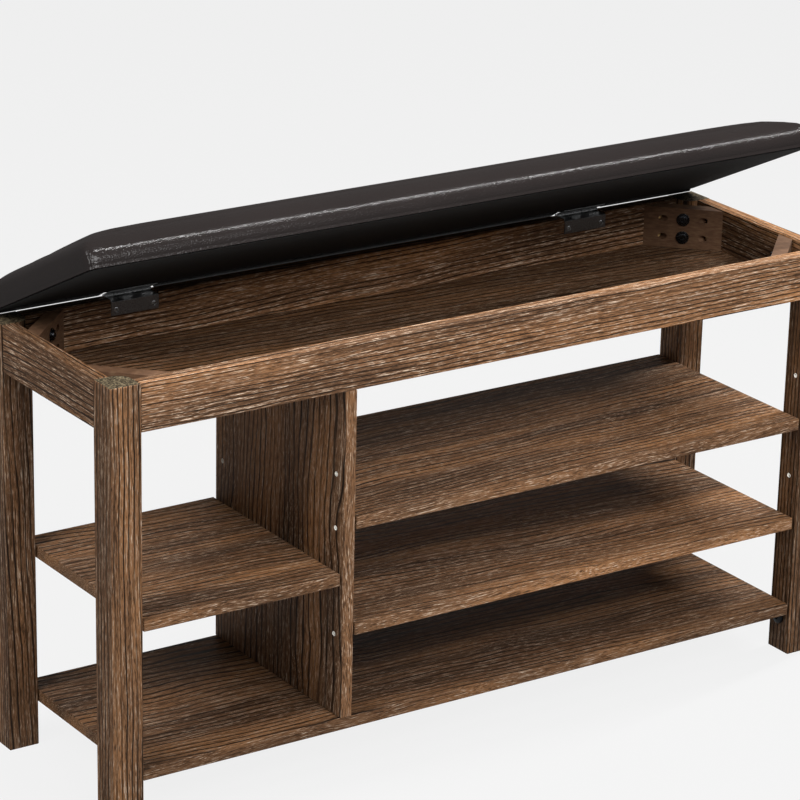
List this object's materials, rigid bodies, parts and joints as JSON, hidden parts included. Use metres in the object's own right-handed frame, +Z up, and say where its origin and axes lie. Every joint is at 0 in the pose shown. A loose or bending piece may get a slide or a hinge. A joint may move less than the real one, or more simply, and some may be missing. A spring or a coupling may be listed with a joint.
{
  "type": "shoe storage bench",
  "caption": "Walnut-brown storage bench with a hinged padded seat over a shallow tray, an upright divider and open shelves for shoes.",
  "frame": {"origin": "on the floor, in the middle of the plan that the bench covers with its lid at the rest angle", "axes": "+X along the bench to its right-hand end as seen from the front, +Y from the front to the rear, +Z up"},
  "size_m": [1.001, 0.294, 0.6706],
  "materials": {
    "walnut_laminate": "satin wood-grain laminate, dark walnut brown",
    "raw_block": "matte, plain brown stained block",
    "tray_panel": "satin wood-grain panel",
    "black_steel": "satin black oxide",
    "hinge_steel": "satin, dark blackened steel",
    "bright_steel": "satin zinc-plated steel",
    "espresso_leather": "satin faux leather, fine grain, espresso brown",
    "black_cloth": "matte black non-woven cloth",
    "foam": "matte upholstery foam",
    "plywood": "matte plywood",
    "pale_plastic": "satin off-white plastic",
    "yellow_zinc": "satin yellow-passivated zinc"
  },
  "bodies": {
    "frame": {"apron_front": "walnut_laminate", "apron_left": "walnut_laminate", "apron_rear": "walnut_laminate", "apron_right": "walnut_laminate", "bottom_shelf_stud_front_left": "black_steel", "bottom_shelf_stud_front_right": "black_steel", "bottom_shelf_stud_rear_left": "black_steel", "bottom_shelf_stud_rear_right": "black_steel", "corner_block_front_left": "raw_block", "corner_block_front_right": "raw_block", "corner_block_rear_left": "raw_block", "corner_block_rear_right": "raw_block", "corner_bolt_front_left_lower": "black_steel", "corner_bolt_front_left_upper": "black_steel", "corner_bolt_front_right_lower": "black_steel", "corner_bolt_front_right_upper": "black_steel", "corner_bolt_rear_left_lower": "black_steel", "corner_bolt_rear_left_upper": "black_steel", "corner_bolt_rear_right_lower": "black_steel", "corner_bolt_rear_right_upper": "black_steel", "divider": "walnut_laminate", "hinge_left_frame_leaf": "hinge_steel", "hinge_left_frame_screw_left": "hinge_steel", "hinge_left_frame_screw_right": "hinge_steel", "hinge_left_pin": "hinge_steel", "hinge_right_frame_leaf": "hinge_steel", "hinge_right_frame_screw_left": "hinge_steel", "hinge_right_frame_screw_right": "hinge_steel", "hinge_right_pin": "hinge_steel", "leg_front_left": "walnut_laminate", "leg_front_right": "walnut_laminate", "leg_rear_left": "walnut_laminate", "leg_rear_right": "walnut_laminate", "shelf_bottom": "walnut_laminate", "shelf_left": "walnut_laminate", "shelf_pin_left_divider_front": "bright_steel", "shelf_pin_left_divider_rear": "bright_steel", "shelf_pin_left_leg_front": "bright_steel", "shelf_pin_left_leg_rear": "bright_steel", "shelf_pin_right_lower_divider_front": "bright_steel", "shelf_pin_right_lower_divider_rear": "bright_steel", "shelf_pin_right_lower_leg_front": "bright_steel", "shelf_pin_right_lower_leg_rear": "bright_steel", "shelf_pin_right_upper_divider_front": "bright_steel", "shelf_pin_right_upper_divider_rear": "bright_steel", "shelf_pin_right_upper_leg_front": "bright_steel", "shelf_pin_right_upper_leg_rear": "bright_steel", "shelf_right_lower": "walnut_laminate", "shelf_right_upper": "walnut_laminate", "tray_floor": "tray_panel"},
    "lid": {"dust_cover": "black_cloth", "hinge_left_lid_leaf": "hinge_steel", "hinge_left_lid_screw_left": "hinge_steel", "hinge_left_lid_screw_right": "hinge_steel", "hinge_right_lid_leaf": "hinge_steel", "hinge_right_lid_screw_left": "hinge_steel", "hinge_right_lid_screw_right": "hinge_steel", "lid_board": "plywood", "seat_cover": "espresso_leather", "seat_foam": "foam"}
  },
  "joints": [
    {"name": "lid_hinge", "type": "hinge", "parent": "frame", "child": "lid", "pos_m": [0, 0.13798, 0.5219], "axis": [-1, 0, 0], "range_deg": [-26, 69]}
  ]
}
